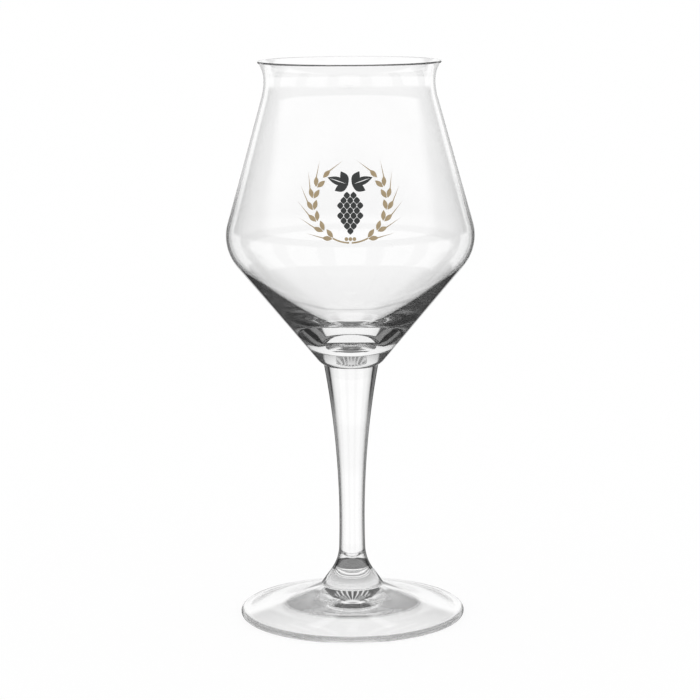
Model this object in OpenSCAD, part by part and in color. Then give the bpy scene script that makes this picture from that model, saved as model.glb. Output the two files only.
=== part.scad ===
// Stemmed tulip beer glass. A thin blown bowl is fused to a drawn stem, the stem is fused
// to a pressed foot, and a two-colour barley and hop print is fired on the bowl's front.
// Millimetres, +Z up, origin on the table under the centre of the foot, print facing -Y.

/* [Bowl] */
// Height of the bowl, from its weld on the stem to the rim
bowl_h = 102.8; // [98:0.2:110]
// Outside diameter at the rim
rim_d = 61.6; // [60:0.2:68]
// Outside diameter at the narrow neck under the rim
neck_d = 57.6; // [54:0.2:58.4]
// Depth of the neck below the rim
neck_drop = 6.5; // [6:0.1:8]
// Radius of the hollow curve from the neck down to the wall
neck_round = 20; // [14:0.5:26]
// Outside diameter at the widest part
belly_d = 84; // [80:0.5:90]
// Depth of the widest part below the rim
belly_drop = 58.5; // [55:0.5:62]
// Radius of the curve around the widest part
belly_round = 16; // [12:0.5:20]
// Thickness of the wall from the rim to the widest part
wall_t = 0.9; // [0.7:0.1:1.4]
// Thickness of the solid glass between the cavity and the weld
floor_t = 7.8; // [6:0.2:10]
// Radius of the bottom of the cavity
floor_round = 22; // [18:0.5:26]
// How far the cavity's side bulges out of a straight line from its bottom to the widest part
cavity_bulge = 1; // [0.7:0.05:1.3]
// Radius of the knee where the bowl closes in on the stem
knee_round = 10; // [9:0.5:14]
// Height of the centre of the knee's curve above the weld
knee_rise = 8.4; // [7:0.1:8.8]

/* [Stem] */
// Length of the stem between its two welds
stem_l = 71.2; // [64:0.2:80]
// Diameter of the weld between bowl and stem
top_weld_d = 18.6; // [16:0.2:20]
// Diameter at the slim waist
waist_d = 8.7; // [7.6:0.1:10]
// Height of the waist above the lower weld
waist_rise = 17; // [15:0.5:24]
// Radius of the flare at the bottom of the stem
flare_round = 15; // [13:0.5:18]
// Diameter of the weld between stem and foot
low_weld_d = 13.8; // [12:0.2:15]

/* [Foot] */
// Diameter of the foot
foot_d = 77; // [72:0.5:84]
// Height of the foot, from the table to its weld on the stem
foot_h = 16; // [15:0.2:18]
// Diameter of the boss at its base
boss_d = 21.4; // [19:0.2:24]
// Height of the boss above the plate
boss_h = 5.6; // [4:0.2:6.5]
// Radius of the rounded lower edge of the boss
boss_round = 1.2; // [0.6:0.1:1.6]
// Thickness of the plate at its rounded edge
edge_t = 2.4; // [1.8:0.1:3.4]
// Radius of the hollow sweep over the top of the plate
sweep_round = 100; // [60:5:400]
// Height of the hollow under the middle of the plate
kick_h = 4.8; // [2:0.1:6]
// Width of the flat ring that the glass stands on
stand_w = 1.4; // [0.8:0.1:4]

/* [Print] */
// Depth of the middle of the print below the rim
print_drop = 44; // [42:0.5:50]
// Thickness of the fired ink
ink_t = 0.1; // [0.05:0.01:0.15]
// Radius of the wreath of the two barley ears
wreath_r = 12; // [10:0.5:13]
// Length of a barley grain
grain_l = 3.4; // [2.8:0.1:3.6]
// Width of a barley grain
grain_w = 1.5; // [1.1:0.1:1.6]
// Length of a barley beard
awn_l = 5.5; // [4:0.5:6.5]
// Width of the drawn stalks
stalk_w = 0.5; // [0.4:0.05:0.7]
// Height of a scale of the hop cone
scale_l = 2.3; // [2:0.1:2.4]
// Width of a scale of the hop cone
scale_w = 2; // [1.6:0.1:2.2]
// Length of the middle lobe of a hop leaf
lobe_l = 7; // [5:0.5:8]
// Width of the middle lobe of a hop leaf
lobe_w = 2.6; // [2:0.1:3]
// Diameter of the berries at the foot of the wreath
berry_d = 1.2; // [0.8:0.1:1.3]

/* [Hidden] */

// Degrees between the points of a rounded outline
step_turn = 4;
// Points along one side of a leaf, grain or scale
leaf_steps = 8;
$fn = 128;

weld_z = foot_h + stem_l;
rim_z = weld_z + bowl_h;
belly_z = rim_z - belly_drop;
neck_z = rim_z - neck_drop;
waist_z = foot_h + waist_rise;
plate_z = foot_h - boss_h;
print_z = rim_z - print_drop;

function turned(points) = [for (i = [len(points) - 1:-1:0]) points[i]];

// Both end turns and every whole step of turn between them
function turns(from, to) = from > to
    ? turned(turns(to, from))
    : concat([from], [for (k = [floor(from / step_turn) + 1:1:ceil(to / step_turn) - 1]) k * step_turn], [to]);

// A point on a circle at the turn of its outward normal. The radius is negative on a
// hollow curve, whose centre lies outside the glass.
function around(c, r, turn) = [c[0] + r * cos(turn), c[1] + r * sin(turn)];

function bend(c, r, from, to) = [for (turn = turns(from, to)) around(c, r, turn)];

function way(a, b) = atan2(b[1] - a[1], b[0] - a[0]);

// Outward normal, to the right of the way from a to b, of the line that touches both curves
function touching(a, ra, b, rb) = way(a, b) - acos((ra - rb) / norm(b - a));

// Where two circles meet, to the left of the way from a to b
function meet(a, ra, b, rb) =
    let (d = norm(b - a), along = (d * d + ra * ra - rb * rb) / (2 * d))
    around(a, ra, way(a, b) + acos(along / ra));

// Radius of an arc that rises upright and leans out by one distance over another
function lean_round(out, up) = (up * up + out * out) / (2 * out);

// Centres of the curves of the bowl's outside and the turns where they join
knee_c = [top_weld_d / 2 - sqrt(knee_round * knee_round - knee_rise * knee_rise), weld_z + knee_rise];
belly_c = [belly_d / 2 - belly_round, belly_z];
neck_c = [neck_d / 2 + neck_round, neck_z];
knee_turn = touching(knee_c, knee_round, belly_c, belly_round);
wall_turn = touching(belly_c, belly_round, neck_c, -neck_round);

// The lip curves out from the neck and ends in a round as thick as the wall
lip_out = rim_d / 2 - neck_d / 2 - wall_t / 2;
lip_up = neck_drop - wall_t / 2;
lip_round = (lip_out * lip_out + lip_up * lip_up - wall_t * wall_t / 4) / (2 * lip_out + wall_t);
lip_c = [neck_d / 2 + lip_round, neck_z];
lip_turn = -asin(lip_up / (lip_round + wall_t / 2));

// The cavity's own curves below the widest part, where the wall thickens to the floor
floor_c = [0, weld_z + floor_t + floor_round];
cavity_round = pow(norm(belly_c - floor_c), 2) / (8 * cavity_bulge) + floor_round;
cavity_c = meet(floor_c, cavity_round - floor_round, belly_c, cavity_round - belly_round + wall_t);

// Outline from the widest part's curve to the rim, at a depth inside the glass
function upper_wall(low_turn, depth) = concat(
    bend(belly_c, belly_round - depth, low_turn, wall_turn),
    bend(neck_c, -neck_round - depth, wall_turn, 0),
    [for (turn = turns(0, lip_turn)) if (turn < 0) around(lip_c, -lip_round - depth, turn)]);

function all_but_first(points) = [for (i = [1:len(points) - 1]) points[i]];

function lip_end() = bend(around(lip_c, -lip_round - wall_t / 2, lip_turn), wall_t / 2, lip_turn, lip_turn + 180);

module bowl()
    color("aliceblue", 0.4)
    rotate_extrude()
    polygon(concat(
        [[0, weld_z]],
        bend(knee_c, knee_round, way(knee_c, [top_weld_d / 2, weld_z]), knee_turn),
        upper_wall(knee_turn, 0),
        all_but_first(lip_end()),
        all_but_first(turned(upper_wall(way(cavity_c, belly_c), wall_t))),
        all_but_first(bend(cavity_c, cavity_round, way(cavity_c, belly_c), way(cavity_c, floor_c))),
        all_but_first(bend(floor_c, floor_round, way(cavity_c, floor_c), -90))));

// The stem's long curve runs from the waist to the upper weld, and the flare joins it smoothly
stem_round = lean_round(top_weld_d / 2 - waist_d / 2, stem_l - waist_rise);
stem_c = [waist_d / 2 + stem_round, waist_z];
low_weld = [low_weld_d / 2, foot_h];
flare_c = meet(low_weld, flare_round, stem_c, stem_round - flare_round);
flare_turn = way(flare_c, stem_c);

module stem()
    color("aliceblue", 0.4)
    rotate_extrude()
    polygon(concat(
        [[0, foot_h]],
        bend(flare_c, -flare_round, way(low_weld, flare_c), flare_turn),
        all_but_first(bend(stem_c, -stem_round, flare_turn, way([top_weld_d / 2, weld_z], stem_c))),
        [[0, weld_z]]));

// The plate's hollow top touches its rounded edge and ends in the crease around the boss
edge_c = [foot_d / 2 - edge_t / 2, edge_t / 2];
crease = [boss_d / 2, plate_z];
sweep_c = meet(crease, sweep_round, edge_c, sweep_round + edge_t / 2);
boss_c = [boss_d / 2 - boss_round, plate_z];
stand_r = edge_c[0] - stand_w;
kick_c = [0, kick_h - lean_round(kick_h, stand_r)];

module foot()
    color("aliceblue", 0.4)
    rotate_extrude()
    polygon(concat(
        bend(kick_c, kick_h - kick_c[1], 90, way(kick_c, [stand_r, 0])),
        bend(edge_c, edge_t / 2, -90, way(edge_c, sweep_c)),
        all_but_first(bend(sweep_c, -sweep_round, way(edge_c, sweep_c), way(crease, sweep_c))),
        all_but_first(bend(boss_c, boss_round, 0, touching(boss_c, boss_round, low_weld, 0))),
        [low_weld, [0, foot_h]]));

// The print is the drawing pressed straight back onto a thin skin over the bowl's wall. It
// starts a little above the widest part, so the ink never stands out past the belly.
ink_turn = 2 * step_turn;

function ink_side(height) = concat(
    bend(belly_c, belly_round + height, ink_turn, wall_turn),
    [around(neck_c, -neck_round + height, wall_turn)]);

module printed()
    intersection() {
        rotate_extrude() polygon(concat(ink_side(ink_t), turned(ink_side(0))));
        translate([0, 0, print_z]) rotate([90, 0, 0]) linear_extrude(belly_d) children();
    }

// A pointed leaf from the origin up to its tip
module leaf(length, width)
    polygon(concat(
        [for (i = [0:leaf_steps]) [width / 2 * sin(180 * i / leaf_steps), length * i / leaf_steps]],
        [for (i = [leaf_steps - 1:-1:1]) [-width / 2 * sin(180 * i / leaf_steps), length * i / leaf_steps]]));

// The hop cone's rows of scales from the top down
scale_counts = [2, 3, 4, 3, 4, 3, 2, 1];
row_pitch_share = 0.69;
scale_gap_share = 0.06;
cone_top_share = 0.33;

module print_hop_cone()
    color("darkslategray")
    printed()
    for (row = [0:len(scale_counts) - 1], i = [0:scale_counts[row] - 1])
        translate([(i - (scale_counts[row] - 1) / 2) * scale_w * (1 + scale_gap_share),
                   cone_top_share * wreath_r - row * row_pitch_share * scale_l])
        rotate(180)
        leaf(scale_l, scale_w);

// Two hop leaves of three lobes spread over the cone, split by their middle veins
leaf_rise_share = 0.52;
leaf_out_share = 0.05;
leaf_lean = 72;
side_lobe_turn = 42;
side_lobe_share = 0.68;
vein_share = 0.1;

module hop_leaf()
    difference() {
        union() {
            leaf(lobe_l, lobe_w);
            for (side = [-1, 1])
                rotate(side * side_lobe_turn) leaf(side_lobe_share * lobe_l, lobe_w);
        }
        translate([0, vein_share * lobe_l]) leaf(lobe_l * (1 - 2 * vein_share), vein_share * lobe_w);
    }

module print_hop_leaves()
    color("darkslategray")
    printed()
    for (side = [0, 1])
        mirror([side, 0])
        translate([leaf_out_share * wreath_r, leaf_rise_share * wreath_r])
        rotate(-leaf_lean)
        hop_leaf();

// A barley ear grows along the wreath, a pair of grains at each station, the outer one bearded
ear_low_turn = -62;
ear_high_turn = 26;
grain_pairs = 6;
grain_lean = 24;
awn_lean = 10;
grain_side_share = 0.12;
awn_width_share = 0.7;
awn_root_share = 0.1;
stalk_low_turn = -88;

module on_wreath(turn)
    rotate(turn) translate([wreath_r, 0]) children();

module bearded_grain() {
    leaf(grain_l, grain_w);
    translate([0, grain_l * (1 - awn_root_share)])
        rotate(awn_lean)
        polygon([[-awn_width_share * stalk_w / 2, 0], [awn_width_share * stalk_w / 2, 0], [0, awn_l]]);
}

module barley_ear() {
    for (k = [0:grain_pairs - 1])
        on_wreath(ear_low_turn + (ear_high_turn - ear_low_turn) * k / (grain_pairs - 1)) {
            translate([grain_side_share * grain_w, 0]) rotate(-grain_lean) bearded_grain();
            translate([-grain_side_share * grain_w, 0]) rotate(grain_lean) leaf(grain_l, grain_w);
        }
    on_wreath(ear_high_turn + (ear_high_turn - ear_low_turn) / (grain_pairs - 1)) bearded_grain();
    polygon(concat(
        bend([0, 0], wreath_r + stalk_w / 2, stalk_low_turn, ear_low_turn),
        turned(bend([0, 0], wreath_r - stalk_w / 2, stalk_low_turn, ear_low_turn))));
}

module print_right_barley()
    color("tan")
    printed()
    barley_ear();

module print_left_barley()
    color("tan")
    printed()
    mirror([1, 0])
    barley_ear();

// Three berries rest in the crook of the stalks
berry_rise_share = 0.9;

module print_berries()
    color("tan")
    printed()
    for (k = [-1:1])
        translate([k * berry_d * (1 + scale_gap_share), -berry_rise_share * wreath_r])
        circle(d = berry_d);

bowl();
stem();
foot();
print_hop_cone();
print_hop_leaves();
print_left_barley();
print_right_barley();
print_berries();
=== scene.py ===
import math

import bpy
from mathutils import Matrix, Vector


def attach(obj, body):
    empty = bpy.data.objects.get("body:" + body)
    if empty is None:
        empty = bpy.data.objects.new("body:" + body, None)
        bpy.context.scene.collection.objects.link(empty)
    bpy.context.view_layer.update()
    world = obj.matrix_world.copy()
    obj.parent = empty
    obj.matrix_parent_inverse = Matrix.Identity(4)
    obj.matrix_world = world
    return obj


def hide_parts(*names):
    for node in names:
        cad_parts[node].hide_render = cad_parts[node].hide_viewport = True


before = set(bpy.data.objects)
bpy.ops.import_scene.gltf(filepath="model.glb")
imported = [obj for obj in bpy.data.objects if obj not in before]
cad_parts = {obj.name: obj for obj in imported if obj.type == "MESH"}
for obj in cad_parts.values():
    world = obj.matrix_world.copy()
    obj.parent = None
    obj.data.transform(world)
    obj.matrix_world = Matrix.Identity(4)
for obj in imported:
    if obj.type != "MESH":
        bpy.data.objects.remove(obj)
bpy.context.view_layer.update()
MM = 0.001
BODY = "root"

# Sizes of the glass, the same as in the frame
BOWL_H = 102.8 * MM
RIM_D = 61.6 * MM
NECK_D = 57.6 * MM
NECK_DROP = 6.5 * MM
NECK_ROUND = 20 * MM
BELLY_D = 84 * MM
BELLY_DROP = 58.5 * MM
BELLY_ROUND = 16 * MM
WALL_T = 0.9 * MM
FLOOR_T = 7.8 * MM
FLOOR_ROUND = 22 * MM
CAVITY_BULGE = 1 * MM
KNEE_ROUND = 10 * MM
KNEE_RISE = 8.4 * MM
STEM_L = 71.2 * MM
TOP_WELD_D = 18.6 * MM
WAIST_D = 8.7 * MM
WAIST_RISE = 17 * MM
FLARE_ROUND = 15 * MM
LOW_WELD_D = 13.8 * MM
FOOT_D = 77 * MM
FOOT_H = 16 * MM
BOSS_D = 21.4 * MM
BOSS_H = 5.6 * MM
BOSS_ROUND = 1.2 * MM
EDGE_T = 2.4 * MM
SWEEP_ROUND = 100 * MM
KICK_H = 4.8 * MM
STAND_W = 1.4 * MM

# How finely the glass is turned
LATHE_STEPS = 256
ARC_STEP = 2
ARC_LENGTH = 1.2 * MM
JOIN = 0.001 * MM
CREASE_ANGLE = 25

# Heights above the table
WELD_Z = FOOT_H + STEM_L
RIM_Z = WELD_Z + BOWL_H
BELLY_Z = RIM_Z - BELLY_DROP
NECK_Z = RIM_Z - NECK_DROP
WAIST_Z = FOOT_H + WAIST_RISE
PLATE_Z = FOOT_H - BOSS_H


# Drafting: points are (distance from the axis, height), and turns are in degrees

def around(centre, radius, turn):
    """The point of a circle at the turn of its outward normal; hollow curves have a negative radius."""
    return Vector((centre[0] + radius * math.cos(math.radians(turn)),
                   centre[1] + radius * math.sin(math.radians(turn))))


def way(a, b):
    return math.degrees(math.atan2(b[1] - a[1], b[0] - a[0]))


def touching(a, ra, b, rb):
    """Outward normal, to the right of the way from a to b, of the line that touches both circles."""
    return way(a, b) - math.degrees(math.acos((ra - rb) / (Vector(b) - Vector(a)).length))


def meet(a, ra, b, rb):
    """Where two circles meet, to the left of the way from a to b."""
    gap = (Vector(b) - Vector(a)).length
    along = (gap * gap + ra * ra - rb * rb) / (2 * gap)
    return around(a, ra, way(a, b) + math.degrees(math.acos(along / ra)))


def lean_round(out, up):
    """Radius of an arc that starts upright and leans out by one distance over another."""
    return (up * up + out * out) / (2 * out)


# Modelling with the mesh tools

def deselect_all():
    bpy.ops.object.select_all(action="DESELECT")


def put_down_pen(name, point):
    """A new piece that is one vertex in the XZ plane, from which strokes are drawn."""
    deselect_all()
    bpy.ops.mesh.primitive_plane_add(size=MM, location=(point[0], 0, point[1]))
    piece = bpy.context.object
    piece.name = piece.data.name = name
    bpy.ops.object.transform_apply(location=True, rotation=True, scale=True)
    bpy.ops.object.mode_set(mode="EDIT")
    bpy.ops.mesh.merge(type="CENTER")
    return piece


def line(start, end):
    """A straight stroke from the pen's point."""
    bpy.ops.mesh.extrude_region_move(
        TRANSFORM_OT_translate={"value": (end[0] - start[0], 0, end[1] - start[1])})
    return Vector(end)


def arc(centre, radius, turn_from, turn_to):
    """An arc from the pen's point, from one outward normal to another."""
    sweep = math.radians(turn_to - turn_from)
    steps = max(2, math.ceil(abs(turn_to - turn_from) / ARC_STEP),
                math.ceil(abs(sweep * radius) / ARC_LENGTH))
    bpy.ops.mesh.spin(steps=steps, angle=sweep, center=(centre[0], 0, centre[1]), axis=(0, 1, 0))
    return around(centre, radius, turn_to)


def turn_on_lathe(piece):
    """Spins the drawn outline round the glass's axis into a closed, smooth solid."""
    bpy.ops.mesh.select_all(action="SELECT")
    bpy.ops.mesh.remove_doubles(threshold=JOIN)
    bpy.ops.mesh.spin(steps=LATHE_STEPS, angle=math.tau, center=(0, 0, 0), axis=(0, 0, 1))
    bpy.ops.mesh.select_all(action="SELECT")
    bpy.ops.mesh.remove_doubles(threshold=JOIN)
    bpy.ops.mesh.normals_make_consistent(inside=False)
    bpy.ops.object.mode_set(mode="OBJECT")
    bpy.ops.object.shade_smooth_by_angle(angle=math.radians(CREASE_ANGLE))
    return piece


def finish_glass(piece, node, glass, fused, weld_heights):
    """Gives a turned piece its glass, and the faces at its welds the joint that can't be seen."""
    piece.data.materials.append(glass)
    piece.data.materials.append(fused)
    for face in piece.data.polygons:
        level = all(abs(piece.data.vertices[i].co.z - face.center.z) < JOIN for i in face.vertices)
        face.material_index = int(level and any(abs(face.center.z - z) < JOIN for z in weld_heights))
    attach(piece, BODY)
    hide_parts(node)


# Materials

def new_material(name):
    material = bpy.data.materials.new(name)
    material.use_nodes = True
    nodes = material.node_tree.nodes
    return material, nodes, material.node_tree.links, nodes["Principled BSDF"]


def noise(nodes, links, coordinates, scale, detail, stretch=(1, 1, 1)):
    mapping = nodes.new("ShaderNodeMapping")
    mapping.inputs["Scale"].default_value = stretch
    texture = nodes.new("ShaderNodeTexNoise")
    texture.inputs["Scale"].default_value = scale
    texture.inputs["Detail"].default_value = detail
    links.new(coordinates, mapping.inputs["Vector"])
    links.new(mapping.outputs["Vector"], texture.inputs["Vector"])
    return texture.outputs["Fac"]


def feed(links, value, socket):
    """Sets a socket to a number, or links it to another node's output."""
    if isinstance(value, (int, float)):
        socket.default_value = value
    else:
        links.new(value, socket)


def ramp(nodes, links, value, low, high, to_low, to_high):
    """Runs softly from one level to another while a value runs from low to high."""
    node = nodes.new("ShaderNodeMapRange")
    node.interpolation_type = "SMOOTHSTEP"
    node.inputs["From Min"].default_value = low
    node.inputs["From Max"].default_value = high
    node.inputs["To Min"].default_value = to_low
    feed(links, to_high, node.inputs["To Max"])
    links.new(value, node.inputs["Value"])
    return node.outputs["Result"]


def calculate(nodes, links, operation, *values):
    node = nodes.new("ShaderNodeMath")
    node.operation = operation
    for value, socket in zip(values, node.inputs):
        feed(links, value, socket)
    return node.outputs["Value"]


def times(nodes, links, a, b):
    return calculate(nodes, links, "MULTIPLY", a, b)


def split_axes(nodes, links, vector):
    node = nodes.new("ShaderNodeSeparateXYZ")
    links.new(vector, node.inputs["Vector"])
    return node.outputs


def relief(nodes, links, shader, height, depth, strength=1):
    """Lets a height from 0 to 1 stand up from the surface by a depth."""
    bump = nodes.new("ShaderNodeBump")
    bump.inputs["Strength"].default_value = strength
    bump.inputs["Distance"].default_value = depth
    links.new(height, bump.inputs["Height"])
    links.new(bump.outputs["Normal"], shader.inputs["Normal"])


def seen_directly(nodes, links):
    """1 for light that goes to the camera or to a matte surface, and 0 for the rest."""
    path = nodes.new("ShaderNodeLightPath").outputs
    return calculate(nodes, links, "MAXIMUM", path["Is Camera Ray"], path["Is Diffuse Ray"])


GLASS_IOR = 1.52
# Counts of mirrorings, and of surfaces met, over which the glass's colour is darkened: painted shade
# for light in the glass getting weaker
MIRRORED_SHADE_DEPTHS = (0, 3)
LONG_WAY_SHADE_DEPTHS = (3, 4)
CORD_DETAIL = 2


def clear_glass(name, heights, edge, edge_shade_levels, bottom, mirror_shade_levels, long_way_shade, blur,
                cord_height, cord_scale, cord_stretch):
    """Fire-polished glass with faint cords from the furnace. Its colour is darkened as painted shade:
    at its edges, and for light mirrored inside it, by levels at a low and a high point, but not at the
    bottom. Light that has run a long way in the glass is painted darker low down, also as painted
    shade, and it is made softer."""
    material, nodes, links, shader = new_material(name)
    shader.inputs["Transmission Weight"].default_value = 1
    shader.inputs["IOR"].default_value = GLASS_IOR
    place = nodes.new("ShaderNodeTexCoord").outputs["Object"]
    height = split_axes(nodes, links, place)["Z"]
    facing = nodes.new("ShaderNodeLayerWeight").outputs["Facing"]
    path = nodes.new("ShaderNodeLightPath").outputs
    # Painted shade: the glass's colour is darkened at its edges, by a level that runs with height
    edge_shade_level = ramp(nodes, links, height, *heights, *edge_shade_levels)
    # Painted shade: the glass's colour is darkened for light mirrored inside it, by a level that runs
    # with height, but not at the bottom
    mirror_shade_level = ramp(nodes, links, height, *heights, *mirror_shade_levels)
    mirror_shade_level = ramp(nodes, links, height, *bottom, 1, mirror_shade_level)
    # Painted shade: light that has met many surfaces is darkened low down, by a level that runs with
    # height
    long_way_shade_level = ramp(nodes, links, height, *long_way_shade)
    # Painted shade at the glass's edges, where its surface is seen edge-on
    painted_edge_shade = ramp(nodes, links, facing, *edge, 1, edge_shade_level)
    # Painted shade for light that has been mirrored inside the glass
    mirrored = ramp(nodes, links, path["Glossy Depth"], *MIRRORED_SHADE_DEPTHS, 1, mirror_shade_level)
    # Painted shade for light that has run a long way in the glass
    painted_long_way_shade = ramp(nodes, links, path["Ray Depth"], *LONG_WAY_SHADE_DEPTHS, 1, long_way_shade_level)
    # The glass's colour is these painted shades multiplied together
    level = times(nodes, links, painted_edge_shade, times(nodes, links, mirrored, painted_long_way_shade))
    links.new(level, shader.inputs["Base Color"])
    links.new(ramp(nodes, links, path["Ray Depth"], *blur), shader.inputs["Roughness"])
    cords = noise(nodes, links, place, cord_scale, CORD_DETAIL, cord_stretch)
    relief(nodes, links, shader, cords, cord_height)
    return material


def fused_joint():
    """The faces of a flame weld: the glass runs on through them."""
    material, nodes, links, shader = new_material("fused_joint")
    clear = nodes.new("ShaderNodeBsdfTransparent")
    links.new(clear.outputs["BSDF"], nodes["Material Output"].inputs["Surface"])
    nodes.remove(shader)
    return material


# Ink: scale and detail of its pinholes and of its clouds, the mesh of the screen, and what they do
PINHOLES = (900, 6)
CLOUDS = (160, 3)
MESH_SCALE = 1800
MESH_DISTORTION = 2
MESH_SHARE = 0.35
COVER = (0.42, 0.95)
CLOUD_SPAN = (0.3, 0.7)
INK_ROUGHNESS = (0.38, 0.55)
INK_RELIEF = 0.02 * MM
INK_RELIEF_STRENGTH = 0.5


def fired_ink(name, colour, deep_colour):
    """Screen-printed ceramic ink, fired on: a satin film with mesh marks, pinholes and clouds."""
    material, nodes, links, shader = new_material(name)
    place = nodes.new("ShaderNodeTexCoord").outputs["Object"]
    cover = noise(nodes, links, place, *PINHOLES)
    cloud = noise(nodes, links, place, *CLOUDS)
    weave = nodes.new("ShaderNodeTexWave")
    weave.wave_type = "BANDS"
    weave.bands_direction = "DIAGONAL"
    weave.inputs["Scale"].default_value = MESH_SCALE
    weave.inputs["Distortion"].default_value = MESH_DISTORTION
    links.new(place, weave.inputs["Vector"])
    film = calculate(nodes, links, "MULTIPLY_ADD", weave.outputs["Fac"], MESH_SHARE, cover)
    fade = ramp(nodes, links, film, *COVER, 0, 1)
    tint = nodes.new("ShaderNodeMix")
    tint.data_type = "RGBA"
    tint.inputs[6].default_value = (*deep_colour, 1)
    tint.inputs[7].default_value = (*colour, 1)
    links.new(fade, tint.inputs["Factor"])
    links.new(tint.outputs[2], shader.inputs["Base Color"])
    links.new(ramp(nodes, links, cloud, *CLOUD_SPAN, *INK_ROUGHNESS), shader.inputs["Roughness"])
    relief(nodes, links, shader, film, INK_RELIEF, INK_RELIEF_STRENGTH)
    return material


# Outlines of the three glass pieces, each drawn from the axis and back to it

def turned_bowl():
    knee_c = (TOP_WELD_D / 2 - math.sqrt(KNEE_ROUND ** 2 - KNEE_RISE ** 2), WELD_Z + KNEE_RISE)
    belly_c = (BELLY_D / 2 - BELLY_ROUND, BELLY_Z)
    neck_c = (NECK_D / 2 + NECK_ROUND, NECK_Z)
    floor_c = (0, WELD_Z + FLOOR_T + FLOOR_ROUND)
    knee_turn = touching(knee_c, KNEE_ROUND, belly_c, BELLY_ROUND)
    wall_turn = touching(belly_c, BELLY_ROUND, neck_c, -NECK_ROUND)
    lip_out = RIM_D / 2 - NECK_D / 2 - WALL_T / 2
    lip_up = NECK_DROP - WALL_T / 2
    lip_round = (lip_out ** 2 + lip_up ** 2 - WALL_T ** 2 / 4) / (2 * lip_out + WALL_T)
    lip_c = (NECK_D / 2 + lip_round, NECK_Z)
    lip_turn = -math.degrees(math.asin(lip_up / (lip_round + WALL_T / 2)))
    rim_c = around(lip_c, -lip_round - WALL_T / 2, lip_turn)
    cavity_round = (Vector(belly_c) - Vector(floor_c)).length ** 2 / (8 * CAVITY_BULGE) + FLOOR_ROUND
    cavity_c = meet(floor_c, cavity_round - FLOOR_ROUND, belly_c, cavity_round - BELLY_ROUND + WALL_T)
    cavity_top = way(cavity_c, belly_c)
    cavity_low = way(cavity_c, floor_c)

    pen = Vector((0, WELD_Z))
    piece = put_down_pen("bowl_of_clear_glass", pen)
    pen = line(pen, (TOP_WELD_D / 2, WELD_Z))
    pen = arc(knee_c, KNEE_ROUND, way(knee_c, pen), knee_turn)
    pen = line(pen, around(belly_c, BELLY_ROUND, knee_turn))
    pen = arc(belly_c, BELLY_ROUND, knee_turn, wall_turn)
    pen = line(pen, around(neck_c, -NECK_ROUND, wall_turn))
    pen = arc(neck_c, -NECK_ROUND, wall_turn, 0)
    pen = arc(lip_c, -lip_round, 0, lip_turn)
    pen = arc(rim_c, WALL_T / 2, lip_turn, lip_turn + 180)
    pen = arc(lip_c, -lip_round - WALL_T, lip_turn, 0)
    pen = arc(neck_c, -NECK_ROUND - WALL_T, 0, wall_turn)
    pen = line(pen, around(belly_c, BELLY_ROUND - WALL_T, wall_turn))
    pen = arc(belly_c, BELLY_ROUND - WALL_T, wall_turn, cavity_top)
    pen = arc(cavity_c, cavity_round, cavity_top, cavity_low)
    pen = arc(floor_c, FLOOR_ROUND, cavity_low, -90)
    return turn_on_lathe(piece)


def turned_stem():
    stem_round = lean_round(TOP_WELD_D / 2 - WAIST_D / 2, STEM_L - WAIST_RISE)
    stem_c = (WAIST_D / 2 + stem_round, WAIST_Z)
    low_weld = (LOW_WELD_D / 2, FOOT_H)
    flare_c = meet(low_weld, FLARE_ROUND, stem_c, stem_round - FLARE_ROUND)
    flare_turn = way(flare_c, stem_c)

    pen = Vector((0, FOOT_H))
    piece = put_down_pen("stem_of_clear_glass", pen)
    pen = line(pen, low_weld)
    pen = arc(flare_c, -FLARE_ROUND, way(low_weld, flare_c), flare_turn)
    pen = arc(stem_c, -stem_round, flare_turn, way((TOP_WELD_D / 2, WELD_Z), stem_c))
    pen = line(pen, (0, WELD_Z))
    return turn_on_lathe(piece)


def turned_foot():
    edge_c = (FOOT_D / 2 - EDGE_T / 2, EDGE_T / 2)
    crease = (BOSS_D / 2, PLATE_Z)
    sweep_c = meet(crease, SWEEP_ROUND, edge_c, SWEEP_ROUND + EDGE_T / 2)
    boss_c = (BOSS_D / 2 - BOSS_ROUND, PLATE_Z)
    low_weld = (LOW_WELD_D / 2, FOOT_H)
    boss_turn = touching(boss_c, BOSS_ROUND, low_weld, 0)
    stand_r = edge_c[0] - STAND_W
    kick_round = lean_round(KICK_H, stand_r)
    kick_c = (0, KICK_H - kick_round)

    pen = Vector((0, KICK_H))
    piece = put_down_pen("foot_of_clear_glass", pen)
    pen = arc(kick_c, kick_round, 90, way(kick_c, (stand_r, 0)))
    pen = line(pen, (edge_c[0], 0))
    pen = arc(edge_c, EDGE_T / 2, -90, way(edge_c, sweep_c))
    pen = arc(sweep_c, -SWEEP_ROUND, way(edge_c, sweep_c), way(crease, sweep_c))
    pen = arc(boss_c, BOSS_ROUND, 0, boss_turn)
    pen = line(pen, low_weld)
    pen = line(pen, (0, FOOT_H))
    return turn_on_lathe(piece)


# The camera stands a little above the glass, as the photographer's did
CAMERA_X = -0.35 * MM
CAMERA_BACK = 793.5 * MM
CAMERA_Z = 228 * MM
CAMERA_PITCH = 9.7185
CAMERA_ROLL = -0.35
CAMERA_CLIP = (10 * MM, 100)
SENSOR = 36
FOCAL_PX = 2367
FRAME_PX = 700


def photographers_camera():
    data = bpy.data.cameras.new("camera")
    data.sensor_width = SENSOR
    data.lens = FOCAL_PX / FRAME_PX * SENSOR
    data.clip_start, data.clip_end = CAMERA_CLIP
    camera = bpy.data.objects.new("camera", data)
    bpy.context.scene.collection.objects.link(camera)
    tilt = Matrix.Rotation(math.radians(90 - CAMERA_PITCH), 3, "X")
    roll = Matrix.Rotation(math.radians(CAMERA_ROLL), 3, "Z")
    camera.rotation_euler = (tilt @ roll).to_euler()
    camera.location = (CAMERA_X, -CAMERA_BACK, CAMERA_Z)
    bpy.context.scene.camera = camera


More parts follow.
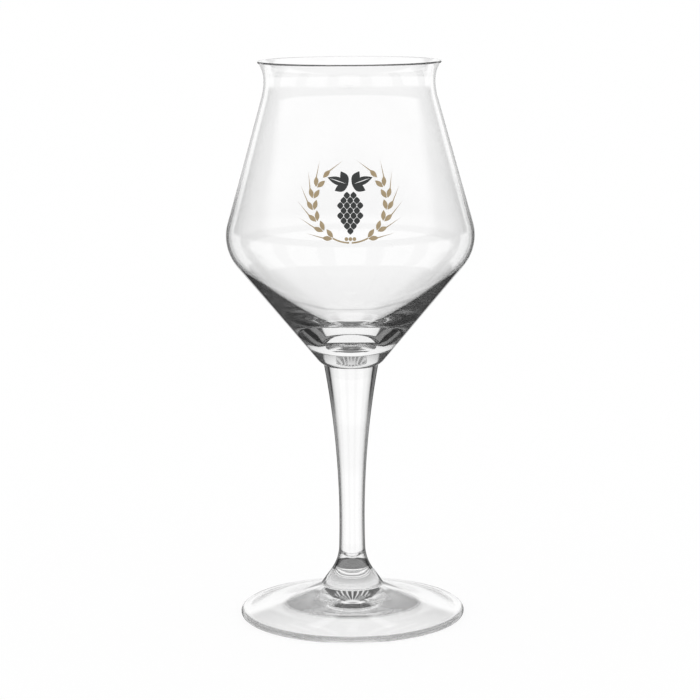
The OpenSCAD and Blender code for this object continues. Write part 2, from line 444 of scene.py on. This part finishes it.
# The camera sees a white sweep, and the glass sees the studio around it. Each part of the studio has
# a level, then the heights and the turns away from straight behind the glass that it covers. Both
# are in degrees: where it begins, where it is full, where it starts to fade and where it ends.
WHITE = 1.0
DARK_ROOM = 0.06
ALL_ROUND = (-2, -1, 181, 182)
STUDIO = {
    "floor under the foot": (0.2, (-100, -95, -60, -54), ALL_ROUND),
    "floor near the foot": (0.12, (-60, -54, -32, -28), ALL_ROUND),
    "floor far off": (WHITE, (-32, -28, -2, 3), ALL_ROUND),
    "side walls": (WHITE, (13, 17, 52, 60), (45, 55, 181, 182)),
    "ceiling": (0.9, (50, 62, 95, 100), ALL_ROUND),
    "lit floor behind": (WHITE, (-54, -50, -32, -28), (-2, -1, 20, 26)),
    "white wall behind": (WHITE, (-5, 0, 18, 24), (-2, -1, 39, 45)),
    "top of the wall": (0.12, (18, 24, 56, 62), (-2, -1, 39, 45)),
    "soft light in front": (WHITE, (15, 20, 62, 70), (125, 145, 181, 182)),
    "lit floor in front": (WHITE, (-46, -42, -28, -24), (60, 75, 181, 182)),
}
# Seen from high above and through the glass without a mirroring, the floor is as white as around it
STEEPLY_DOWN = (-101, -100, -60, -54)
# Dark posts at every odd multiple of half a bay, seen only in light that is mirrored last
BAY = 22.5
POST = (13, 16)
POST_HEIGHTS = (-45, -40, 6, 12)
POST_LEVEL = 0.1
# Upright strip lights high on the white wall, a few degrees apart
STRIP_GAP = 7
STRIP_HALF = (1.0, 1.6)
STRIP_HEIGHTS = (36, 38, 60, 62)
STRIP_TURNS = (-2, -1, 30, 32)
STRIP_LEVEL = 0.75


def studio_world():
    world = bpy.data.worlds.new("studio")
    bpy.context.scene.world = world
    world.use_nodes = True
    nodes, links = world.node_tree.nodes, world.node_tree.links
    nodes.clear()
    direction = split_axes(nodes, links, nodes.new("ShaderNodeTexCoord").outputs["Generated"])
    rise = calculate(nodes, links, "ARCSINE", direction["Z"])
    height = calculate(nodes, links, "DEGREES", rise)
    compass = calculate(nodes, links, "ARCTAN2", direction["X"], direction["Y"])
    away = calculate(nodes, links, "ABSOLUTE", calculate(nodes, links, "DEGREES", compass))

    def lay(under, level, amount):
        """Lays a level over what is under it, by an amount from 0 to 1."""
        mix = nodes.new("ShaderNodeMix")
        mix.data_type = "FLOAT"
        links.new(amount, mix.inputs["Factor"])
        feed(links, under, mix.inputs["A"])
        mix.inputs["B"].default_value = level
        return mix.outputs["Result"]

    def between(value, begins, full, fades, ends):
        return times(nodes, links, ramp(nodes, links, value, begins, full, 0, 1),
                     ramp(nodes, links, value, fades, ends, 1, 0))

    light = DARK_ROOM
    for level, heights, turns in STUDIO.values():
        area = times(nodes, links, between(height, *heights), between(away, *turns))
        light = lay(light, level, area)
    path = nodes.new("ShaderNodeLightPath").outputs
    unmirrored = ramp(nodes, links, path["Glossy Depth"], 0, 1, 1, 0)
    light = lay(light, WHITE, times(nodes, links, between(height, *STEEPLY_DOWN), unmirrored))
    bay = calculate(nodes, links, "PINGPONG", away, BAY)
    mirrored = times(nodes, links, between(height, *POST_HEIGHTS), path["Is Reflection Ray"])
    post = times(nodes, links, mirrored, ramp(nodes, links, bay, *POST, 0, 1))
    light = lay(light, POST_LEVEL, post)
    from_strip = calculate(nodes, links, "PINGPONG", away, STRIP_GAP / 2)
    area = times(nodes, links, between(height, *STRIP_HEIGHTS), between(away, *STRIP_TURNS))
    strip = times(nodes, links, area, ramp(nodes, links, from_strip, *STRIP_HALF, 1, 0))
    light = lay(light, STRIP_LEVEL, strip)
    light = lay(light, WHITE, seen_directly(nodes, links))
    background = nodes.new("ShaderNodeBackground")
    links.new(light, background.inputs["Color"])
    output = nodes.new("ShaderNodeOutputWorld")
    links.new(background.outputs["Background"], output.inputs["Surface"])


# The floor reaches past the edges of the picture, and its shadow is a share of a matte floor's
FLOOR_SIZE = 60
FLOOR_DROP = 0.02 * MM
SHADOW_SHARE = 0.12


def white_floor():
    """A pale floor that shows the glass's shadow to the camera and lets the glass see the studio."""
    deselect_all()
    bpy.ops.mesh.primitive_plane_add(size=FLOOR_SIZE, location=(0, 0, -FLOOR_DROP))
    floor = bpy.context.object
    floor.name = floor.data.name = "studio_floor"
    material, nodes, links, shader = new_material("white_floor")
    nodes.remove(shader)
    matte = nodes.new("ShaderNodeBsdfDiffuse")
    matte.inputs["Color"].default_value = (1, 1, 1, 1)
    glow = nodes.new("ShaderNodeEmission")
    shaded = nodes.new("ShaderNodeMixShader")
    shaded.inputs["Fac"].default_value = SHADOW_SHARE
    links.new(glow.outputs["Emission"], shaded.inputs[1])
    links.new(matte.outputs["BSDF"], shaded.inputs[2])
    clear = nodes.new("ShaderNodeBsdfTransparent")
    surface = nodes.new("ShaderNodeMixShader")
    links.new(seen_directly(nodes, links), surface.inputs["Fac"])
    links.new(clear.outputs["BSDF"], surface.inputs[1])
    links.new(shaded.outputs["Shader"], surface.inputs[2])
    links.new(surface.outputs["Shader"], nodes["Material Output"].inputs["Surface"])
    floor.data.materials.append(material)


photographers_camera()
studio_world()
white_floor()

fused = fused_joint()
# Each glass gets painted shade in its colour: darker edges, darker mirrored light and, in the bowl,
# darker long-way light low down
bowl_glass = clear_glass(
    "blown_bowl_glass", heights=(130 * MM, 155 * MM), edge=(0.74, 0.82), edge_shade_levels=(0.2, 1),
    bottom=(99 * MM, 106 * MM), mirror_shade_levels=(0.06, 1), long_way_shade=(100 * MM, 120 * MM, 0.06, 1),
    blur=(3, 8, 0, 0.1), cord_height=0.004 * MM, cord_scale=60, cord_stretch=(1, 1, 0.35))
stem_glass = clear_glass(
    "drawn_stem_glass", heights=(40 * MM, 87 * MM), edge=(0.15, 0.55), edge_shade_levels=(0.01, 0.08),
    bottom=(0, MM), mirror_shade_levels=(0.9, 0.9), long_way_shade=(0, MM, 1, 1),
    blur=(2, 6, 0, 0.2), cord_height=0.01 * MM, cord_scale=120, cord_stretch=(1, 1, 0.15))
foot_glass = clear_glass(
    "pressed_foot_glass", heights=(0, 16 * MM), edge=(0.7, 1), edge_shade_levels=(0.6, 0.6),
    bottom=(0, MM), mirror_shade_levels=(0.9, 0.9), long_way_shade=(0, MM, 1, 1),
    blur=(1, 5, 0, 0.3), cord_height=0.01 * MM, cord_scale=90, cord_stretch=(1, 1, 1))

finish_glass(turned_bowl(), "bowl", bowl_glass, fused, [WELD_Z])
finish_glass(turned_stem(), "stem", stem_glass, fused, [FOOT_H, WELD_Z])
finish_glass(turned_foot(), "foot", foot_glass, fused, [FOOT_H])

charcoal = fired_ink("charcoal_ink", (0.035, 0.04, 0.04), (0.02, 0.023, 0.023))
tan = fired_ink("tan_ink", (0.46, 0.36, 0.22), (0.36, 0.27, 0.15))
INKS = {
    "print_hop_cone": charcoal,
    "print_hop_leaves": charcoal,
    "print_left_barley": tan,
    "print_right_barley": tan,
    "print_berries": tan,
}
for node, ink in INKS.items():
    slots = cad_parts[node].data.materials
    slots.clear()
    slots.append(ink)

scene = bpy.context.scene
scene.view_settings.view_transform = "Standard"
# Light runs many times round inside thick glass before it comes out
BOUNCES = 32
scene.cycles.max_bounces = BOUNCES
scene.cycles.glossy_bounces = BOUNCES
scene.cycles.transmission_bounces = BOUNCES
